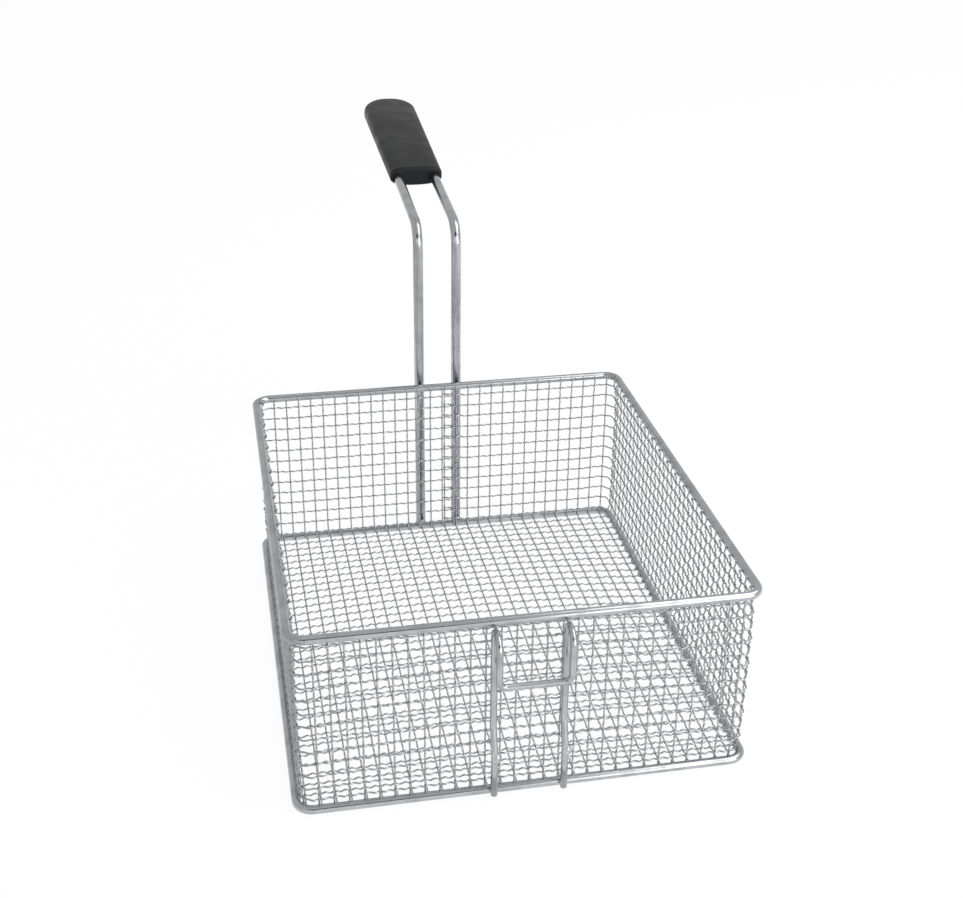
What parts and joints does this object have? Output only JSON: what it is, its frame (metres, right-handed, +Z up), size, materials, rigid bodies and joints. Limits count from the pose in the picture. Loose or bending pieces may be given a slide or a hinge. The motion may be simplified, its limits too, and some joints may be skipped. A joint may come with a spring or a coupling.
{
  "type": "deep fryer basket",
  "caption": "Rectangular woven-wire deep fryer basket with a rod rim, a rod foot ring, a bent rod handle with a black moulded grip, and a bent rod hook on its front.",
  "frame": {"origin": "on the surface that the foot ring stands on, under the middle of the whole length and width", "axes": "+Z up; -Y to the front, where the hook is; +Y to the rear, where the handle points; +X to the right seen from the front"},
  "size_m": [0.306, 0.6658, 0.2991],
  "materials": {
    "plated_steel": "bright nickel-chrome plating on round rod",
    "plated_wire": "bright nickel-chrome plating on crimped woven wire",
    "black_grip": "black satin moulding"
  },
  "bodies": {
    "root": {"wall_mesh": "plated_wire", "bottom_mesh": "plated_wire", "top_rim": "plated_steel", "bottom_ring": "plated_steel", "handle_frame": "plated_steel", "handle_grip": "black_grip", "front_hook": "plated_steel"}
  },
  "joints": []
}
